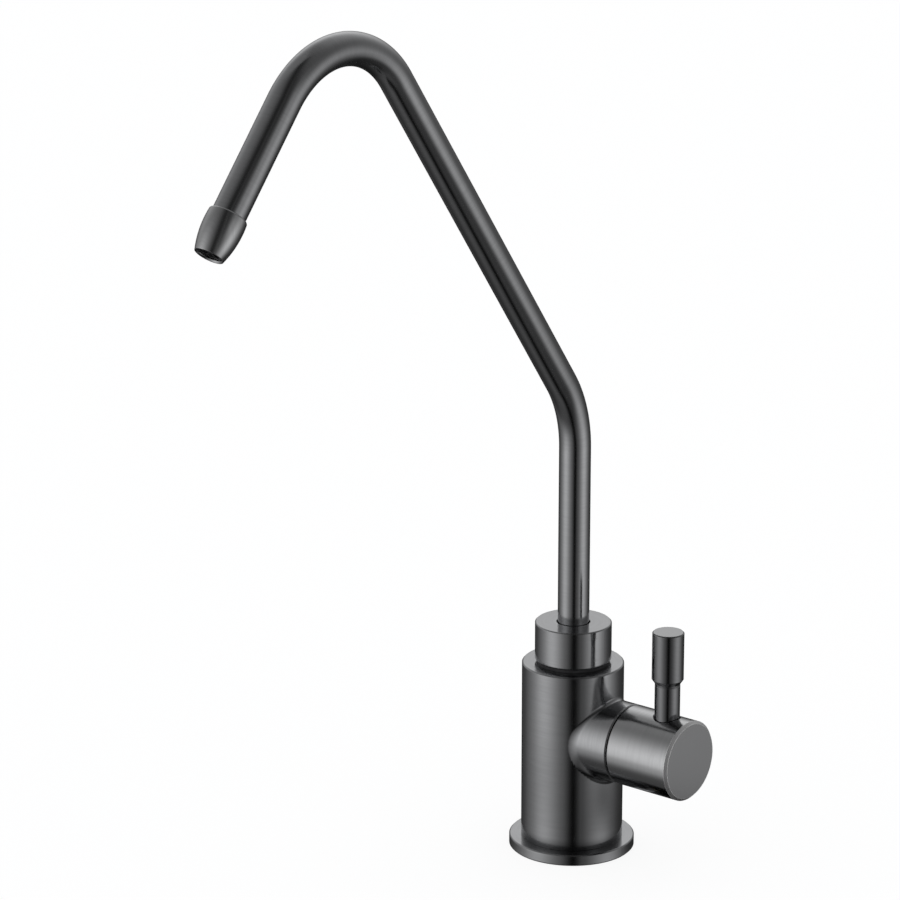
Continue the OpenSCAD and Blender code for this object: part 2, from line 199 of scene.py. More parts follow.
def white_world():
    world = bpy.data.worlds.new("white_studio")
    scene.world = world
    world.use_nodes = True
    tree = world.node_tree
    tree.nodes.clear()
    path = add(tree, "ShaderNodeLightPath").outputs
    seen = maths(tree, "MAXIMUM", path["Is Camera Ray"], path["Is Glossy Ray"])
    seen = maths(tree, "MAXIMUM", seen, path["Is Transmission Ray"])
    fill = add(tree, "ShaderNodeBackground", None, {"Color": FILL_LIGHT, "Strength": 1.0})
    white = add(tree, "ShaderNodeBackground", None, {"Color": WHITE, "Strength": 1.0})
    output = add(tree, "ShaderNodeOutputWorld")
    join(tree, mixed(tree, seen, fill.outputs[0], white.outputs[0]), output.inputs["Surface"])


# Floor: the worktop's upper face, white to the camera, with the tap's soft shadow left on it. The metal
# mirrors the tent below it, dimmed by soft shades: each has its middle, its reach both ways and its darkness
FLOOR_SIZE = 6.0
SHADOW_SHARE = 0.12
SHADES = (
    (66 * MM, 15 * MM, 40 * MM, 38 * MM, 0.72),
    (-30 * MM, -75 * MM, 45 * MM, 45 * MM, 0.22),
)


def floor_shade(tree):
    """How dark the metal sees a place of the worktop."""
    parts = split(tree, add(tree, "ShaderNodeTexCoord").outputs["Object"])
    shade = 0.0
    for x, y, long, wide, dark in SHADES:
        off = 0.0
        for axis, middle, reach in (("X", x, long), ("Y", y, wide)):
            away = maths(tree, "DIVIDE", maths(tree, "SUBTRACT", parts[axis], middle), reach)
            off = maths(tree, "ADD", maths(tree, "MULTIPLY", away, away), off)
        shade = maths(tree, "ADD", maths(tree, "MULTIPLY", bell(tree, off), dark), shade, clamp=True)
    return shade


def white_floor():
    bpy.ops.object.select_all(action="DESELECT")
    bpy.ops.mesh.primitive_plane_add(size=FLOOR_SIZE, location=(0, 0, 0))
    floor = bpy.context.object
    floor.name = "floor"
    material, tree = bare_material("white_worktop")
    path = add(tree, "ShaderNodeLightPath").outputs
    lit = add(tree, "ShaderNodeBsdfDiffuse", None, {"Color": WHITE}).outputs[0]
    clear = add(tree, "ShaderNodeBsdfTransparent").outputs[0]
    pale = mixed(tree, SHADOW_SHARE, glow(tree, WHITE), lit)
    plain = mixed(tree, path["Is Camera Ray"], lit, pale)
    dimmed = mixed(tree, floor_shade(tree), clear, glow(tree, BLACK, 0.0))
    from_above = mixed(tree, path["Is Glossy Ray"], plain, dimmed)
    below = add(tree, "ShaderNodeNewGeometry").outputs["Backfacing"]
    surface(tree, mixed(tree, below, from_above, clear))
    floor.data.materials.append(material)
    floor.visible_shadow = False


# Dark well round the fixing, seen from outside by the metal alone, so that the fixing doesn't show in the
# metal above the worktop
WELL_DEEP = 80 * MM


def seen_by_metal(stand):
    """Keep a stand from the camera and from all light but mirrored light."""
    stand.visible_camera = False
    stand.visible_diffuse = False
    stand.visible_shadow = False
    stand.visible_transmission = False
    stand.visible_volume_scatter = False


def dark_well():
    bpy.ops.object.select_all(action="DESELECT")
    bpy.ops.mesh.primitive_cylinder_add(vertices=64, radius=FLANGE_R, depth=WELL_DEEP,
                                        end_fill_type="NOTHING", location=(0, 0, -WELL_DEEP / 2))
    well = bpy.context.object
    well.name = "dark_well"
    material, tree = bare_material("well_cloth")
    inside = add(tree, "ShaderNodeNewGeometry").outputs["Backfacing"]
    clear = add(tree, "ShaderNodeBsdfTransparent").outputs[0]
    surface(tree, mixed(tree, inside, glow(tree, BLACK, 0.0), clear))
    well.data.materials.append(material)
    seen_by_metal(well)


# Dark tent round the set, seen by the metal alone, with soft oval windows on the white outside. Each window
# has its turn from the camera's side to the right and its height, in degrees, how far it is open, and how
# wide and tall it is. A black card stands upright at the camera. The tent is dim at its foot: between two
# heights, as shares of its radius, the light falls to a share. Its cloth is a little lighter overhead
TENT_R = 2.6
TENT_DARK = 0.004
TENT_OVERHEAD = 0.03
OVERHEAD_TOP = 0.35
WINDOWS = (
    (-69, 1, 1.0, 0.56, 0.62),
    (69, -10, 0.8, 0.53, 0.45),
    (181, 29, 0.88, 0.63, 0.32),
    (-119, 55, 0.13, 0.25, 1.0),
    (150, 55, 0.3, 0.58, 0.38),
    (-21, -80, 0.55, 0.5, 0.5),
    (50, 22, 0.2, 0.22, 0.22),
)
CARD_TURN = 1.0
CARD_WIDE = 0.24
TENT_FOOT_LOW = -0.72
TENT_FOOT_TOP = -0.45
TENT_FOOT_SHARE = 0.35


def window_frame(turn, height):
    """The directions from the tap to a window's middle, along its width and along its height."""
    around = math.radians(AZIMUTH - 90 + turn)
    up = math.radians(height)
    middle = Vector((math.cos(around) * math.cos(up), math.sin(around) * math.cos(up), math.sin(up)))
    side = Vector((-math.sin(around), math.cos(around), 0))
    return middle, side, middle.cross(side)


def dark_tent():
    bpy.ops.object.select_all(action="DESELECT")
    bpy.ops.mesh.primitive_uv_sphere_add(segments=64, ring_count=32, radius=TENT_R, location=(0, 0, 0))
    tent = bpy.context.object
    tent.name = "dark_tent"
    material, tree = bare_material("tent_cloth")
    material.cycles.emission_sampling = "NONE"
    way = add(tree, "ShaderNodeVectorMath", {"operation": "NORMALIZE"})
    join(tree, add(tree, "ShaderNodeTexCoord").outputs["Object"], way.inputs[0])

    def towards(direction):
        """How far a place of the tent lies along a direction."""
        facing = add(tree, "ShaderNodeVectorMath", {"operation": "DOT_PRODUCT"})
        facing.inputs[1].default_value = direction
        join(tree, way.outputs["Vector"], facing.inputs[0])
        return facing.outputs["Value"]

    def squared(direction):
        return maths(tree, "POWER", maths(tree, "ABSOLUTE", towards(direction)), 2.0)

    def on_its_side(spot, middle):
        """A spot without its twin on the other side of the tap."""
        return maths(tree, "MULTIPLY", spot, maths(tree, "GREATER_THAN", towards(middle), 0.0))

    opening = 0.0
    for turn, height, share, wide, tall in WINDOWS:
        middle, side, up = window_frame(turn, height)
        off = maths(tree, "ADD", squared(side / wide), squared(up / tall))
        light = on_its_side(bell(tree, off), middle)
        opening = maths(tree, "ADD", maths(tree, "MULTIPLY", light, share), opening, clamp=True)
    middle, side = window_frame(CARD_TURN, 0)[:2]
    card = on_its_side(bell(tree, squared(side / CARD_WIDE)), middle)
    opening = maths(tree, "MULTIPLY", opening, maths(tree, "SUBTRACT", 1.0, card))
    upward = towards(Vector((0, 0, 1)))
    foot = ranged(tree, upward, TENT_FOOT_LOW, TENT_FOOT_TOP, TENT_FOOT_SHARE, 1.0, soft=True)
    opening = maths(tree, "MULTIPLY", opening, foot)
    cloth = add(tree, "ShaderNodeEmission", None, {"Color": WHITE})
    dark = ranged(tree, upward, 0.0, OVERHEAD_TOP, TENT_DARK, TENT_OVERHEAD, soft=True)
    join(tree, dark, cloth.inputs["Strength"])
    clear = add(tree, "ShaderNodeBsdfTransparent").outputs[0]
    surface(tree, mixed(tree, opening, cloth.outputs[0], clear))
    tent.data.materials.append(material)
    seen_by_metal(tent)


# Effects that several finishes share
LINE_FINENESS = 2500.0
LINE_BREAKS = 90.0
EDGE_R = 0.3 * MM
SHARP_COS = 0.88
FLAT_COS = 0.995
MARK_SCALE = 60.0
GRAIN_SCALE = 4000.0


def group(name, inputs, outputs):
    """A new node group, with its way in and its way out."""
    tree = bpy.data.node_groups.new(name, "ShaderNodeTree")
    for label, kind, value in inputs:
        socket = tree.interface.new_socket(label, in_out="INPUT", socket_type=kind)
        if value is not None:
            socket.default_value = value
    for label, kind in outputs:
        tree.interface.new_socket(label, in_out="OUTPUT", socket_type=kind)
    return tree, add(tree, "NodeGroupInput"), add(tree, "NodeGroupOutput")


def from_axis(tree, parts):
    """The distance from the Z axis."""
    square = maths(tree, "POWER", parts["X"], 2.0)
    square = maths(tree, "ADD", square, maths(tree, "POWER", parts["Y"], 2.0))
    return maths(tree, "SQRT", square)


def turned_lines():
    """Fine lines left by turning and brushing: rings round the Z axis, on sides and end faces alike."""
    tree, given, out = group("turned_lines", [("Vector", "NodeSocketVector", None),
                                              ("Fineness", "NodeSocketFloat", LINE_FINENESS)],
                             [("Lines", "NodeSocketFloat")])
    parts = split(tree, given.outputs["Vector"])
    across = maths(tree, "ADD", from_axis(tree, parts), parts["Z"])
    across = maths(tree, "MULTIPLY", across, given.outputs["Fineness"])
    place = add(tree, "ShaderNodeCombineXYZ")
    join(tree, maths(tree, "MULTIPLY", parts["X"], LINE_BREAKS), place.inputs["X"])
    join(tree, maths(tree, "MULTIPLY", parts["Y"], LINE_BREAKS), place.inputs["Y"])
    join(tree, across, place.inputs["Z"])
    noise = add(tree, "ShaderNodeTexNoise", None, {"Scale": 1.0, "Detail": 3.0, "Roughness": 0.6})
    join(tree, place.outputs[0], noise.inputs["Vector"])
    join(tree, noise.outputs["Fac"], out.inputs["Lines"])
    return tree


def edge_wear():
    """A mask of the edges that hands and cloths rub, broken by a fine noise, and a normal that rounds."""
    tree, given, out = group("edge_wear", [("Vector", "NodeSocketVector", None),
                                           ("Radius", "NodeSocketFloat", EDGE_R)],
                             [("Edge", "NodeSocketFloat"), ("Normal", "NodeSocketVector")])
    round_off = add(tree, "ShaderNodeBevel", {"samples": 6})
    join(tree, given.outputs["Radius"], round_off.inputs["Radius"])
    flat = add(tree, "ShaderNodeNewGeometry")
    same = add(tree, "ShaderNodeVectorMath", {"operation": "DOT_PRODUCT"})
    join(tree, round_off.outputs[0], same.inputs[0])
    join(tree, flat.outputs["Normal"], same.inputs[1])
    turned = ranged(tree, same.outputs["Value"], SHARP_COS, FLAT_COS, 1.0, 0.0)
    chips = add(tree, "ShaderNodeTexNoise", None, {"Scale": 900.0, "Detail": 4.0, "Roughness": 0.65})
    join(tree, given.outputs["Vector"], chips.inputs["Vector"])
    kept = ranged(tree, chips.outputs["Fac"], 0.35, 0.6, 0.35, 1.0)
    join(tree, maths(tree, "MULTIPLY", turned, kept, clamp=True), out.inputs["Edge"])
    join(tree, round_off.outputs[0], out.inputs["Normal"])
    return tree


def hand_marks():
    """Faint cloudy marks that handling and wiping leave on a satin finish."""
    tree, given, out = group("hand_marks", [("Vector", "NodeSocketVector", None),
                                            ("Scale", "NodeSocketFloat", MARK_SCALE)],
                             [("Marks", "NodeSocketFloat")])
    cloud = add(tree, "ShaderNodeTexNoise", None, {"Detail": 5.0, "Roughness": 0.6, "Distortion": 0.4})
    join(tree, given.outputs["Vector"], cloud.inputs["Vector"])
    join(tree, given.outputs["Scale"], cloud.inputs["Scale"])
    join(tree, ranged(tree, cloud.outputs["Fac"], 0.38, 0.68, 0.0, 1.0, soft=True), out.inputs["Marks"])
    return tree


def moulded_grain():
    """The fine grain that a tool leaves on rubber, plastic and pressed fibre: cells, and a coarser noise."""
    tree, given, out = group("moulded_grain", [("Vector", "NodeSocketVector", None),
                                               ("Scale", "NodeSocketFloat", GRAIN_SCALE)],
                             [("Grain", "NodeSocketFloat")])
    coarser = 0.3
    cell_share = 0.6
    noise_share = 0.5
    cells = add(tree, "ShaderNodeTexVoronoi", {"feature": "SMOOTH_F1"})
    join(tree, given.outputs["Vector"], cells.inputs["Vector"])
    join(tree, given.outputs["Scale"], cells.inputs["Scale"])
    noise = add(tree, "ShaderNodeTexNoise", None, {"Detail": 4.0})
    join(tree, given.outputs["Vector"], noise.inputs["Vector"])
    join(tree, maths(tree, "MULTIPLY", given.outputs["Scale"], coarser), noise.inputs["Scale"])
    grain = maths(tree, "ADD", maths(tree, "MULTIPLY", cells.outputs["Distance"], cell_share),
                  maths(tree, "MULTIPLY", noise.outputs["Fac"], noise_share), clamp=True)
    join(tree, grain, out.inputs["Grain"])
    return tree


LINES = turned_lines()
EDGES = edge_wear()
MARKS = hand_marks()
GRAIN = moulded_grain()


def placed(tree, effect, vector, **values):
    """One of the shared effects, put into a finish."""
    made = add(tree, "ShaderNodeGroup", {"node_tree": effect})
    join(tree, vector, made.inputs["Vector"])
    for name, value in values.items():
        made.inputs[name].default_value = value
    return made


def finish_start(name):
    material = bpy.data.materials.new(name)
    material.use_nodes = True
    tree = material.node_tree
    return material, tree, tree.nodes["Principled BSDF"]


# Ways that a part's own axis is turned up to Z before its lines are drawn: none, the drum's, the nozzle's
UPRIGHT = ((0, 0, 0), (0, 0, 0))
ALONG_DRUM = ((0, 0, -BRANCH_Z), (0, -math.pi / 2, 0))
ALONG_NOZZLE = ((0, PEAK_REACH, -PEAK_Z), (-FALL_LEAN, 0, 0))


def laid(tree, here, lay):
    """The place on the part, with the part's own axis turned up to Z."""
    move, turn = lay
    shift = add(tree, "ShaderNodeMapping", {"vector_type": "POINT"}, {"Location": move})
    join(tree, here, shift.inputs["Vector"])
    face = add(tree, "ShaderNodeMapping", {"vector_type": "POINT"}, {"Rotation": turn})
    join(tree, shift.outputs[0], face.inputs["Vector"])
    return face.outputs[0]


# Painted light on the gunmetal: painted highlights on flat ends and on the drum's broken edge, and painted
# shade in the corner at the body's foot. An end's highlight starts a little way under it and is full a hair
# under it, and so does the broken edge's
TOP_HIGHLIGHT_COAT = (0.4, 0.404, 0.412)
FACE_HIGHLIGHT_COAT = (0.6, 0.604, 0.614)
RIM_HIGHLIGHT_COAT = (0.95, 0.953, 0.96)
RIM_DULL = 0.36
FOOT_SHADE_COAT = (0.06, 0.06, 0.063)
FOOT_SHADE_H = 4.5 * MM
FOOT_SHADE_DARK = 0.8
END_FROM = 0.1 * MM
END_FULL = 0.02 * MM
RIM_FROM = 0.25 * MM
RIM_FULL = 0.05 * MM
BRANCH_FADE = 2 * MM


def branch_share(tree, here):
    """How far a place is out on the branch: none on the body, all past the blend."""
    away = from_axis(tree, split(tree, here))
    return ranged(tree, away, BODY_R, BODY_R + BRANCH_FADE, 0.0, 1.0, soft=True)


def end_share(tree, along, end):
    """The flat end of a part whose axis is Z."""
    return ranged(tree, along, end - END_FROM, end - END_FULL, 0.0, 1.0)


def rim_share(tree, parts):
    """The drum's broken edge, where the way along the axis and the way from it add up to most."""
    far = maths(tree, "ADD", from_axis(tree, parts), parts["Z"])
    rim = DRUM_END + BRANCH_R - FACE_BREAK
    return ranged(tree, far, rim - RIM_FROM, rim - RIM_FULL, 0.0, 1.0, soft=True)


def foot_shade_share(tree, here):
    """The corner at the body's foot, with painted shade that is darkest at the flange and gone a little way
    up.
    """
    height = split(tree, here)["Z"]
    return ranged(tree, height, FLANGE_H, FLANGE_H + FOOT_SHADE_H, FOOT_SHADE_DARK, 0.0, soft=True)


# How far lines, marks and rubbed edges change a metal's colour, its gloss and its surface
DULL = 0.9
MARK_TINT = 0.12
WEAR_TINT = 0.5
LINE_GLOSS = 0.03
MARK_GLOSS = 0.04
WEAR_GLOSS = 0.06
LINE_STEP = 0.05 * MM


def metal(name, colour, worn, roughness, lay=UPRIGHT, fineness=LINE_FINENESS, line_depth=0.06,
          straight=False, branch=False, rim=False, top=None):
    """A satin metal with turned lines, wiped marks and edges rubbed lighter and smoother."""
    material, tree, shader = finish_start(name)
    here = add(tree, "ShaderNodeTexCoord").outputs["Object"]
    if straight:
        along = add(tree, "ShaderNodeAttribute", {"attribute_name": "straight"}).outputs["Vector"]
    else:
        along = laid(tree, here, lay)
    lines = placed(tree, LINES, along, Fineness=fineness).outputs["Lines"]
    if branch:
        other = placed(tree, LINES, laid(tree, here, ALONG_DRUM), Fineness=fineness).outputs["Lines"]
        step = maths(tree, "MULTIPLY", maths(tree, "SUBTRACT", other, lines), branch_share(tree, here))
        lines = maths(tree, "ADD", lines, step)
    edge = placed(tree, EDGES, here)
    marks = placed(tree, MARKS, here).outputs["Marks"]
    dull = tuple(DULL * part for part in colour)
    coat = blended(tree, ranged(tree, lines, 0.3, 0.7, 0.0, 1.0), dull, colour)
    coat = blended(tree, maths(tree, "MULTIPLY", marks, MARK_TINT), coat, dull)
    coat = blended(tree, maths(tree, "MULTIPLY", edge.outputs["Edge"], WEAR_TINT), coat, worn)
    gloss = ranged(tree, lines, 0.25, 0.75, roughness + LINE_GLOSS, roughness - LINE_GLOSS)
    if branch:
        # painted shade in the corner at the body's foot, darkest at the flange
        coat = blended(tree, foot_shade_share(tree, here), coat, FOOT_SHADE_COAT)
    if top is not None:
        # painted highlight: the flat top face is lighter than the sides
        coat = blended(tree, end_share(tree, split(tree, here)["Z"], top), coat, TOP_HIGHLIGHT_COAT)
    if rim:
        parts = split(tree, along)
        rim_highlight = rim_share(tree, parts)
        # painted highlights: the drum's end face is lighter and its broken edge nearly white
        coat = blended(tree, end_share(tree, parts["Z"], DRUM_END), coat, FACE_HIGHLIGHT_COAT)
        coat = blended(tree, rim_highlight, coat, RIM_HIGHLIGHT_COAT)
        gloss = maths(tree, "ADD", gloss, maths(tree, "MULTIPLY", rim_highlight, RIM_DULL))
    join(tree, coat, shader.inputs["Base Color"])
    gloss = maths(tree, "ADD", gloss, maths(tree, "MULTIPLY", marks, MARK_GLOSS))
    gloss = maths(tree, "SUBTRACT", gloss, maths(tree, "MULTIPLY", edge.outputs["Edge"], WEAR_GLOSS))
    join(tree, gloss, shader.inputs["Roughness"])
    bump = add(tree, "ShaderNodeBump", None, {"Strength": line_depth, "Distance": LINE_STEP})
    join(tree, lines, bump.inputs["Height"])
    join(tree, edge.outputs["Normal"], bump.inputs["Normal"])
    join(tree, bump.outputs[0], shader.inputs["Normal"])
    shader.inputs["Metallic"].default_value = 1
    return material


# The same for what is moulded, pressed or fired
FINE_MARKS = 150.0
FINE_EDGE_R = 0.2 * MM
PALE_EDGE = 0.4
GRAIN_GLOSS = 0.06
MARK_SHINE = 0.05
GRAIN_STEP = 0.04 * MM


def moulded(name, colour, pale, roughness, grain_scale=GRAIN_SCALE, depth=0.25):
    """Rubber, plastic, fibre or ceramic: a fine grain, and a colour that clouds a little."""
    material, tree, shader = finish_start(name)
    here = add(tree, "ShaderNodeTexCoord").outputs["Object"]
    grain = placed(tree, GRAIN, here, Scale=grain_scale).outputs["Grain"]
    marks = placed(tree, MARKS, here, Scale=FINE_MARKS).outputs["Marks"]
    edge = placed(tree, EDGES, here, Radius=FINE_EDGE_R)
    coat = blended(tree, marks, colour, pale)
    coat = blended(tree, maths(tree, "MULTIPLY", edge.outputs["Edge"], PALE_EDGE), coat, pale)
    join(tree, coat, shader.inputs["Base Color"])
    gloss = ranged(tree, grain, 0.2, 0.8, roughness - GRAIN_GLOSS, roughness + GRAIN_GLOSS)
    gloss = maths(tree, "SUBTRACT", gloss, maths(tree, "MULTIPLY", marks, MARK_SHINE), clamp=True)
    join(tree, gloss, shader.inputs["Roughness"])
    bump = add(tree, "ShaderNodeBump", None, {"Strength": depth, "Distance": GRAIN_STEP})
    join(tree, grain, bump.inputs["Height"])
    join(tree, edge.outputs["Normal"], bump.inputs["Normal"])
    join(tree, bump.outputs[0], shader.inputs["Normal"])
    return material


# Finishes of the tap
COAT = (0.42, 0.424, 0.434)
# The same gunmetal, painted lighter for the drum and the nozzle (painted light) and darker for the lever
# (painted shade)
COAT_PAINTED_LIGHTER = (0.5, 0.504, 0.512)
COAT_PAINTED_DARKER = (0.26, 0.263, 0.27)
COAT_WORN = (0.52, 0.52, 0.53)
BRASS = (0.74, 0.56, 0.28)
BRASS_WORN = (0.86, 0.72, 0.46)
STEEL = (0.6, 0.6, 0.61)
STEEL_WORN = (0.72, 0.72, 0.72)
SATIN = 0.14
finishes = {
    "gunmetal_upright": metal("gunmetal_upright", COAT, COAT_WORN, SATIN),
    "gunmetal_drum": metal("gunmetal_drum", COAT_PAINTED_LIGHTER, COAT_WORN, SATIN, lay=ALONG_DRUM, rim=True),
    "gunmetal_nozzle": metal("gunmetal_nozzle", COAT_PAINTED_LIGHTER, COAT_WORN, SATIN, lay=ALONG_NOZZLE),
    "gunmetal_pipe": metal("gunmetal_pipe", COAT, COAT_WORN, SATIN, line_depth=0.03, straight=True),
    "gunmetal_body": metal("gunmetal_body", COAT, COAT_WORN, SATIN, branch=True),
    "gunmetal_lever": metal("gunmetal_lever", COAT_PAINTED_DARKER, COAT_WORN, SATIN, top=LEVER_TOP),
    "cut_brass": metal("cut_brass", BRASS, BRASS_WORN, 0.28, fineness=1800.0, line_depth=0.15),
    "bright_steel": metal("bright_steel", STEEL, STEEL_WORN, 0.3, fineness=1500.0),
    "black_rubber": moulded("black_rubber", (0.018, 0.018, 0.019), (0.035, 0.035, 0.036), 0.62),
    "red_fibre": moulded("red_fibre", (0.36, 0.09, 0.06), (0.46, 0.17, 0.12), 0.8,
                         grain_scale=2500.0, depth=0.5),
    "white_plastic": moulded("white_plastic", (0.8, 0.8, 0.78), (0.86, 0.86, 0.85), 0.45),
    "black_plastic": moulded("black_plastic", (0.007, 0.007, 0.008), (0.014, 0.014, 0.015), 0.55),
    "lapped_ceramic": moulded("lapped_ceramic", (0.84, 0.83, 0.8), (0.9, 0.9, 0.88), 0.2,
                              grain_scale=6000.0, depth=0.05),
}
finish_of = {
    "gunmetal_upright": ("base_flange", "collar_nut"),
    "gunmetal_body": ("valve_body",),
    "gunmetal_drum": ("handle_drum",),
    "gunmetal_nozzle": ("nozzle",),
    "gunmetal_pipe": ("spout_tube",),
    "gunmetal_lever": ("lever",),
    "cut_brass": ("shank", "cartridge_housing", "spindle", "spout_bush", "fixing_nut"),
    "bright_steel": ("spindle_clip", "grub_screw", "deck_washer", "lock_washer"),
    "black_rubber": ("base_seal", "shank_o_ring", "collar_ring", "seat_seal", "spindle_o_rings",
                     "spout_o_rings", "deck_gasket"),
    "red_fibre": ("cartridge_gasket",),
    "white_plastic": ("lower_slide_washer", "upper_slide_washer", "thrust_washer"),
    "black_plastic": ("flow_straightener",),
    "lapped_ceramic": ("fixed_disc", "moving_disc"),
}


def dress(piece, finish):
    piece.data.materials.clear()
    piece.data.materials.append(finishes[finish])


# Modelling by hand. Points nearer than a seam are one point
SEAM = 0.0005 * MM
ROUND_STEPS = 96
SMOOTH_ANGLE = math.radians(32)


def take_up(piece):
    """Select a piece, and nothing else."""
    bpy.ops.object.select_all(action="DESELECT")
    piece.select_set(True)
    bpy.context.view_layer.objects.active = piece


def begin(name):
    """Name the primitive just added, apply its place and go into edit mode."""
    piece = bpy.context.object
    piece.name = name
    piece.data.name = name
    bpy.ops.object.transform_apply(location=True, rotation=True, scale=True)
    bpy.ops.object.mode_set(mode="EDIT")
    return piece


def clean():
    """Close the seams of the piece being edited and turn its faces outwards."""
    bpy.ops.mesh.select_all(action="SELECT")
    bpy.ops.mesh.remove_doubles(threshold=SEAM)
    bpy.ops.mesh.normals_make_consistent(inside=False)


def extrude(move):
    bpy.ops.mesh.extrude_region_move(TRANSFORM_OT_translate={"value": move})


def apply_modifier(piece, kind, **settings):
    bpy.context.view_layer.objects.active = piece
    made = piece.modifiers.new(kind.lower(), kind)
    for name, value in settings.items():
        setattr(made, name, value)
    bpy.ops.object.modifier_apply(modifier=made.name)


def smooth(piece):
    take_up(piece)
    bpy.ops.object.shade_smooth_by_angle(angle=SMOOTH_ANGLE)


def outline(name, points):
    """A line drawn by extruding one vertex from point to point, in the plane of X and Z."""
    bpy.ops.object.select_all(action="DESELECT")
    bpy.ops.mesh.primitive_plane_add(size=MM, location=(points[0][0], 0, points[0][1]))
    piece = begin(name)
    bpy.ops.mesh.select_all(action="SELECT")
    bpy.ops.mesh.merge(type="CENTER")
    for (x0, z0), (x1, z1) in zip(points, points[1:]):
        extrude((x1 - x0, 0, z1 - z0))
    return piece


def turned(name, points):
    """A closed outline, spun about the Z axis."""
    piece = outline(name, points + points[:1])
    bpy.ops.mesh.select_all(action="SELECT")
    bpy.ops.mesh.spin(steps=ROUND_STEPS, angle=2 * math.pi, center=(0, 0, 0), axis=(0, 0, 1))
    clean()
    bpy.ops.object.mode_set(mode="OBJECT")
    return piece


def cut(piece, other, operation):
    """Join, cut or trim a piece with another, which is used up."""
    apply_modifier(piece, "BOOLEAN", operation=operation, solver="EXACT", object=other)
    bpy.data.objects.remove(other)


def mend_seams(piece):
    """Take out the slivers that cutting leaves, and close the holes that they leave."""
    take_up(piece)
    bpy.ops.object.mode_set(mode="EDIT")
    clean()
    bpy.ops.mesh.dissolve_degenerate(threshold=SEAM)
    bpy.ops.mesh.select_all(action="SELECT")
    bpy.ops.mesh.fill_holes(sides=0)
    bpy.ops.object.mode_set(mode="OBJECT")


# Form of a thread, in shares of its pitch: its depth, its flank's start, and its crest's start and end
THREAD_DEPTH = 0.61
FLANK_START = 0.12
CREST_START = 0.47
CREST_END = 0.65
THREAD_STEPS = 48
SPARE_TURNS = 2
SAW_CUT = 0.0001 * MM


def threaded_bar(name, crest_r, pitch, low, high, grow=0.0):
    """A bar with a cut thread: one flank and crest, screwed up and sawn off square at both ends."""
    root_r = crest_r - THREAD_DEPTH * pitch + grow
    crest = crest_r + grow
    first = math.floor(low / pitch - SPARE_TURNS) * pitch
    turns = math.ceil((high - first) / pitch) + SPARE_TURNS
    piece = outline(name, [
        (root_r, first), (root_r, first + FLANK_START * pitch), (crest, first + CREST_START * pitch),
        (crest, first + CREST_END * pitch), (root_r, first + pitch),
    ])
    bpy.ops.object.mode_set(mode="OBJECT")
    apply_modifier(piece, "SCREW", axis="Z", angle=2 * math.pi, screw_offset=pitch, iterations=turns,
                   steps=THREAD_STEPS, render_steps=THREAD_STEPS, use_merge_vertices=True,
                   merge_threshold=SEAM)
    bpy.ops.object.mode_set(mode="EDIT")
    clean()
    for height, side in ((high, 1), (low, -1)):
        bpy.ops.mesh.select_all(action="SELECT")
        bpy.ops.mesh.bisect(plane_co=(0, 0, height), plane_no=(0, 0, side), use_fill=True,
                            clear_outer=True, threshold=SAW_CUT)
    clean()
    bpy.ops.object.mode_set(mode="OBJECT")
    return piece


# Spout: one pipe, bent twice, drawn from its foot to its end inside the nozzle. Each straight run has a
# short lead at both ends, so that the shading of the bends stays in the bends
PIPE_SIDES = 96
BEND_STEP = math.radians(1.5)
LEAD = 0.4 * MM


def spout_pipe():
    knee_cut = KNEE_R * math.tan(RISE_LEAN / 2)
    top_turn = math.pi - RISE_LEAN - FALL_LEAN
    top_cut = TOP_R * math.tan(top_turn / 2)
    leg = PEAK_REACH / math.sin(RISE_LEAN) - knee_cut - top_cut
    fall = FALL_L - NOZZLE_L + NOZZLE_CUP - top_cut
    knee_foot = KNEE_Z - knee_cut
    leg_end = knee_cut + leg
    top_foot = (-leg_end * math.sin(RISE_LEAN), KNEE_Z + leg_end * math.cos(RISE_LEAN))

    def straight_run(length, lean):
        """A straight stretch, with its leads."""
        for part in (LEAD, length - 2 * LEAD, LEAD):
            extrude((0, -part * math.sin(lean), part * math.cos(lean)))

    def bend(at, lean, radius, turn):
        """A bend that starts at a point of the middle line, whose lean is known, and turns to the front."""
        y, z = at
        middle = (0, y - radius * math.cos(lean), z - radius * math.sin(lean))
        steps = round(turn / BEND_STEP)
        bpy.ops.mesh.spin(steps=steps, angle=turn, center=middle, axis=(-1, 0, 0))

    bpy.ops.object.select_all(action="DESELECT")
    bpy.ops.mesh.primitive_circle_add(vertices=PIPE_SIDES, radius=TUBE_R, location=(0, 0, TUBE_FOOT))
    pipe = begin("spout_pipe")
    bpy.ops.mesh.select_all(action="SELECT")
    straight_run(knee_foot - TUBE_FOOT, 0)
    bend((0, knee_foot), 0, KNEE_R, RISE_LEAN)
    straight_run(leg, RISE_LEAN)
    bend(top_foot, RISE_LEAN, TOP_R, top_turn)
    straight_run(fall, math.pi - FALL_LEAN)
    clean()
    bpy.ops.object.mode_set(mode="OBJECT")
    apply_modifier(pipe, "SOLIDIFY", thickness=TUBE_WALL, offset=-1, use_even_offset=True)
    smooth(pipe)

    # Each point's place on the straight pipe before it was bent, for the brushed lines
    stretches = (
        (knee_foot, KNEE_R, RISE_LEAN),
        (knee_foot + KNEE_R * RISE_LEAN + leg, TOP_R, top_turn),
    )
    marks = pipe.data.attributes.new("straight", "FLOAT_VECTOR", "POINT")
    for vertex, mark in zip(pipe.data.vertices, marks.data):
        mark.vector = unbent(vertex.co, stretches)
    return pipe


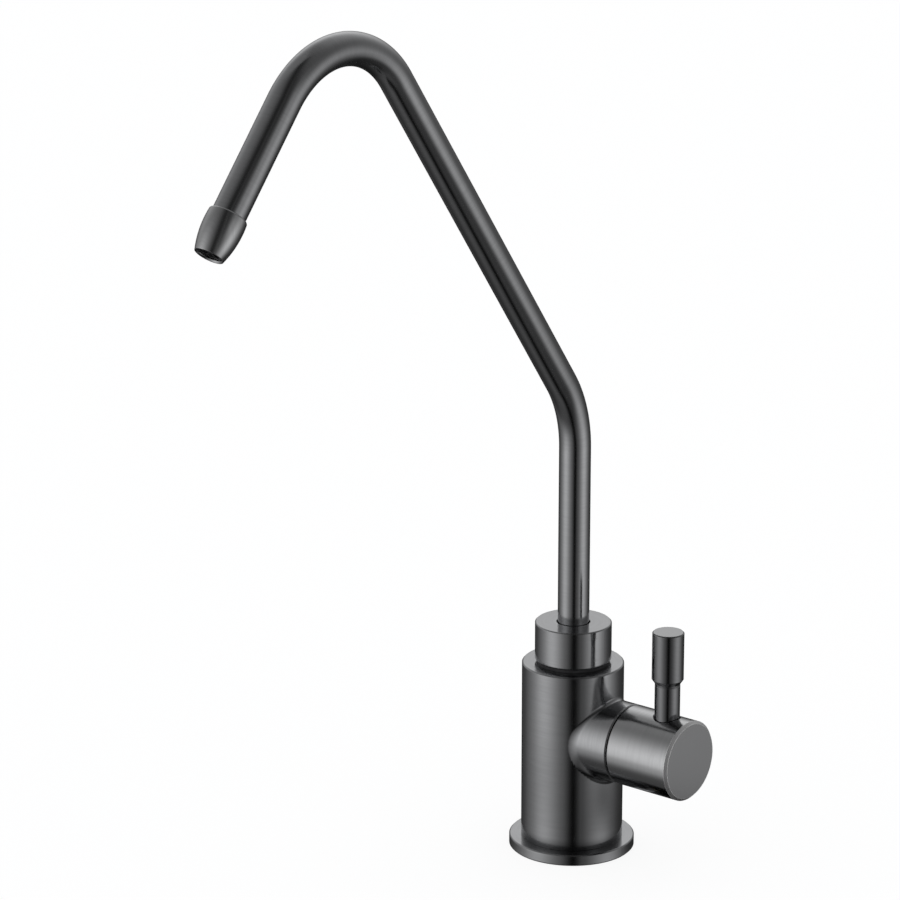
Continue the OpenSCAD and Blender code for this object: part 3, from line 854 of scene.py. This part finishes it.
def unbent(place, stretches):
    """Undo the bends of the spout for one point: it is laid back along the last bend that it has entered."""
    u, z = -place.y, place.z
    lean = 0.0
    foot = (0.0, 0.0)
    bends = []
    run = 0.0
    for start, radius, turn in stretches:
        foot = (foot[0] + (start - run) * math.sin(lean), foot[1] + (start - run) * math.cos(lean))
        middle = (foot[0] + radius * math.cos(lean), foot[1] - radius * math.sin(lean))
        bends.append((middle, lean, radius, turn, start))
        lean += turn
        run = start + radius * turn
        foot = (middle[0] - radius * math.cos(lean), middle[1] + radius * math.sin(lean))
    best = None
    for middle, lean, radius, turn, start in bends:
        du, dz = u - middle[0], z - middle[1]
        swept = math.atan2(dz * math.cos(lean) + du * math.sin(lean),
                           dz * math.sin(lean) - du * math.cos(lean))
        if swept <= 0 and best is None:
            return (place.x, u, z)
        if swept > 0:
            held = min(swept, turn)
            out = (-math.cos(lean + held), math.sin(lean + held))
            ahead = (math.sin(lean + held), math.cos(lean + held))
            best = (du * out[0] + dz * out[1] - radius,
                    start + radius * held + du * ahead[0] + dz * ahead[1])
    return (place.x, -best[0], best[1])


# Body: a copy of its CAD solid, its blend's facets shaded as one curve and its wall as a true round
FACET_COS = 0.99999
BLEND_SAME = math.cos(math.radians(16))
NEAR_BLEND = 4 * MM
OUTSIDE = 0.2 * MM
ON_WALL = 0.02 * MM
END_COS = 0.999
UPRIGHT_COS = 0.5


def smooth_body():
    mesh = nodes["valve_body"].data.copy()
    mesh.name = "valve_body_smooth"
    body = bpy.data.objects.new("valve_body_smooth", mesh)
    scene.collection.objects.link(body)
    kept = mesh.attributes.new("kept_normal", "FLOAT_VECTOR", "CORNER")
    for mark, corner in zip(kept.data, mesh.corner_normals):
        mark.vector = corner.vector
    take_up(body)
    bpy.ops.object.mode_set(mode="EDIT")
    bpy.ops.mesh.select_all(action="SELECT")
    bpy.ops.mesh.remove_doubles(threshold=SEAM)
    bpy.ops.object.mode_set(mode="OBJECT")
    normals = [Vector(mark.vector) for mark in mesh.attributes["kept_normal"].data]

    # The blend's facets lie outside both the body and the branch
    blend_faces = []
    for face in mesh.polygons:
        middle = face.center
        away = abs(middle.z - BRANCH_Z)
        near = NEAR_BLEND < middle.x < BODY_R + NEAR_BLEND and away < BRANCH_R + NEAR_BLEND
        facet = all(normals[corner].dot(face.normal) > FACET_COS for corner in face.loop_indices)
        off_body = math.hypot(middle.x, middle.y) > BODY_R - OUTSIDE
        off_branch = math.hypot(middle.y, away) > BRANCH_R - OUTSIDE
        if near and facet and off_body and off_branch and abs(face.normal.x) < END_COS:
            blend_faces.append(face)
    blend = {face.index for face in blend_faces}

    # The body's wall points straight out from its axis
    for face in mesh.polygons:
        places = [mesh.vertices[mesh.loops[corner].vertex_index].co for corner in face.loop_indices]
        on_wall = all(abs(math.hypot(place.x, place.y) - BODY_R) < ON_WALL for place in places)
        if on_wall and abs(face.normal.z) < UPRIGHT_COS and face.index not in blend:
            for corner, place in zip(face.loop_indices, places):
                normals[corner] = Vector((place.x, place.y, 0)).normalized()

    # A point of the blend takes the mean of its facets, or the round that it runs into
    shared = {}
    for face in mesh.polygons:
        for corner in face.loop_indices:
            point = mesh.loops[corner].vertex_index
            if face.index in blend:
                shared.setdefault(point, [Vector(), None])[0] += face.normal * face.area
            else:
                shared.setdefault(point, [Vector(), None])[1] = normals[corner]
    for face in blend_faces:
        for corner in face.loop_indices:
            mean, round_one = shared[mesh.loops[corner].vertex_index]
            mean = mean.normalized()
            joins = round_one is not None and round_one.dot(mean) > BLEND_SAME
            normals[corner] = round_one if joins else mean
    mesh.attributes.remove(mesh.attributes["kept_normal"])
    for face in mesh.polygons:
        face.use_smooth = True
    mesh.normals_split_custom_set(normals)
    return body


# Shank: turned bar with the nut's thread and the supply connector's thread cut on it
def threaded_shank():
    low = -SHANK_L
    ease = 0.02 * MM
    main_core = MAIN_R - THREAD_DEPTH * MAIN_PITCH + ease
    tail_root = TAIL_R - THREAD_DEPTH * TAIL_PITCH
    tail_core = tail_root + ease
    break_w = 0.6 * MM
    shank = turned("threaded_shank", [
        (WATER_R, SCREW_TOP), (SCREW_R - break_w, SCREW_TOP), (SCREW_R, SCREW_TOP - break_w),
        (SCREW_R, SHOULDER_H), (SHOULDER_R, SHOULDER_H), (SHOULDER_R, 0), (SPIGOT_R, 0),
        (SPIGOT_R, -SPIGOT_L + break_w), (SPIGOT_R - break_w, -SPIGOT_L), (main_core, -SPIGOT_L),
        (main_core, MAIN_LOW), (tail_core, MAIN_LOW), (tail_core, low + break_w),
        (tail_core - break_w, low), (SUPPLY_R + break_w, low), (SUPPLY_R, low + break_w),
        (SUPPLY_R, low + SUPPLY_DEEP), (WATER_R, low + SUPPLY_DEEP),
    ])

    # Each thread is trimmed by a sleeve, so that it runs out at both ends
    run_out = 0.5 * MM
    tip = 0.3 * MM
    slope = 0.9 * MM
    skin = 0.1 * MM
    inner_r = tail_root - break_w
    threads = (
        (MAIN_R, MAIN_PITCH, MAIN_LOW, -SPIGOT_L - run_out),
        (TAIL_R, TAIL_PITCH, low + tip, MAIN_LOW - run_out),
    )
    for crest_r, pitch, foot, head in threads:
        thread = threaded_bar("thread", crest_r, pitch, foot, head)
        sleeve = turned("sleeve", [
            (inner_r, foot - MM), (crest_r - slope - MM, foot - MM), (crest_r + skin, foot + slope),
            (crest_r + skin, head - slope), (crest_r - slope, head + skin), (inner_r, head + skin),
        ])
        cut(thread, sleeve, "INTERSECT")
        cut(shank, thread, "UNION")
    mend_seams(shank)
    smooth(shank)
    return shank


# Fixing nut: a hexagon with its corners turned off and the shank's thread cut through it
def hexagon_nut():
    low = -WORKTOP - STACK_H - NUT_H
    high = low + NUT_H
    corner_r = NUT_FLAT / 2 / math.cos(math.pi / 6)
    bpy.ops.object.select_all(action="DESELECT")
    bpy.ops.mesh.primitive_cylinder_add(vertices=6, radius=corner_r, depth=NUT_H,
                                        location=(0, 0, (low + high) / 2), rotation=(0, 0, math.pi / 6))
    nut = begin("hexagon_nut")
    bpy.ops.object.mode_set(mode="OBJECT")
    flat_r = NUT_FLAT / 2
    spare = 0.3 * MM
    hair = 0.001 * MM
    hub_r = 0.5 * MM
    reach = corner_r + spare
    drop = (corner_r - flat_r + spare) * math.tan(math.radians(30))
    cone = turned("corner_cone", [
        (hub_r, high + hair), (flat_r, high + hair), (reach, high - drop),
        (reach, low + drop), (flat_r, low - hair), (hub_r, low - hair),
    ])
    cut(nut, cone, "INTERSECT")
    play = 0.08 * MM
    bore = threaded_bar("nut_thread", MAIN_R, MAIN_PITCH, low - MM, high + MM, grow=play)
    cut(nut, bore, "DIFFERENCE")
    mouth = 0.9 * MM
    wide = MAIN_R + spare
    lip = 0.1 * MM
    for face, way in ((high, 1), (low, -1)):
        sink = turned("countersink", [
            (hub_r, face - way * mouth), (wide - mouth, face - way * mouth),
            (wide + lip, face + way * lip), (hub_r, face + way * lip),
        ])
        cut(nut, sink, "DIFFERENCE")
    mend_seams(nut)
    smooth(nut)
    return nut


white_world()
white_floor()
dark_well()
dark_tent()
for finish, names in finish_of.items():
    for name in names:
        dress(nodes[name], finish)
for piece, body, slot, finish, replaced in (
    (spout_pipe(), "spout", "gunmetal_steel", "gunmetal_pipe", "spout_tube"),
    (smooth_body(), "tap_body", "gunmetal", "gunmetal_body", "valve_body"),
    (threaded_shank(), "tap_body", "bare_brass", "cut_brass", "shank"),
    (hexagon_nut(), "deck_fixing", "bare_brass", "cut_brass", "fixing_nut"),
):
    dress(piece, finish)
    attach(piece, body)
    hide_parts(replaced)
